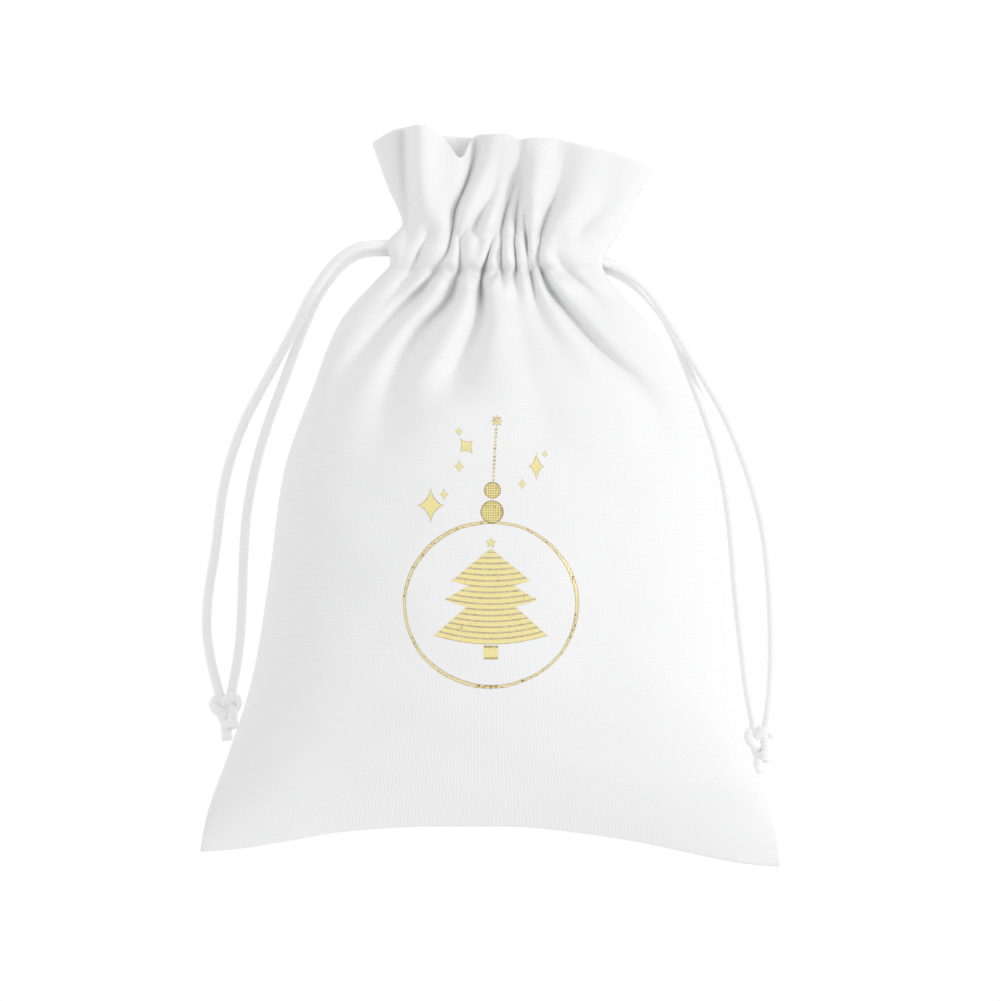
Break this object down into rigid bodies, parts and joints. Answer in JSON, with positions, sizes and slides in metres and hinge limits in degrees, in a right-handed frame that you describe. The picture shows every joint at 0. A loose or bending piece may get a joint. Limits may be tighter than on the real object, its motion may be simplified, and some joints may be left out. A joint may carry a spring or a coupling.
{
  "type": "drawstring gift pouch",
  "caption": "White cotton gift pouch, filled out and lying on its back, neck gathered by two satin drawstrings, gold foil bauble print on the front.",
  "frame": {"origin": "centre of the cloth's box in plan, on the surface that the back rests on", "axes": "+X across the pouch, +Y towards the mouth, +Z out of the printed front"},
  "size_m": [0.1502, 0.19, 0.0586],
  "materials": {
    "canvas": "matte",
    "hem_canvas": "matte",
    "seam_canvas": "matte",
    "thread": "satin",
    "satin_cord": "satin",
    "gold_foil": "polished"
  },
  "bodies": {
    "root": {"front_panel": "canvas", "back_panel": "canvas", "front_channel_wall": "canvas", "back_channel_wall": "canvas", "front_header": "canvas", "back_header": "canvas", "front_channel_facing": "hem_canvas", "back_channel_facing": "hem_canvas", "front_header_hem": "hem_canvas", "back_header_hem": "hem_canvas", "left_seam_allowance": "seam_canvas", "right_seam_allowance": "seam_canvas", "bottom_seam_allowance": "seam_canvas", "front_lower_stitches": "thread", "front_upper_stitches": "thread", "back_lower_stitches": "thread", "back_upper_stitches": "thread", "foil_ring": "gold_foil", "foil_cap": "gold_foil", "foil_chain": "gold_foil", "foil_chain_star": "gold_foil", "foil_tree": "gold_foil", "foil_tree_star": "gold_foil", "foil_sparkles": "gold_foil"},
    "left_cord": {"left_cord_channel_run": "satin_cord"},
    "left_loop": {"left_outer_strand": "satin_cord", "left_inner_strand": "satin_cord", "left_knot": "satin_cord"},
    "right_cord": {"right_cord_channel_run": "satin_cord"},
    "right_loop": {"right_outer_strand": "satin_cord", "right_inner_strand": "satin_cord", "right_knot": "satin_cord"}
  },
  "joints": [
    {"name": "left_cord_pull", "type": "slide", "parent": "root", "child": "left_cord", "axis": [-1, 0, 0], "range_m": [0, 0.005]},
    {"name": "left_loop_swing", "type": "hinge", "parent": "left_cord", "child": "left_loop", "pos_m": [-0.0264, 0.0636, 0.018], "axis": [0, 0, -1], "range_deg": [0, 45]},
    {"name": "right_cord_pull", "type": "slide", "parent": "root", "child": "right_cord", "axis": [1, 0, 0], "range_m": [0, 0.005]},
    {"name": "right_loop_swing", "type": "hinge", "parent": "right_cord", "child": "right_loop", "pos_m": [0.0328, 0.06, 0.018], "axis": [0, 0, 1], "range_deg": [0, 45]}
  ]
}
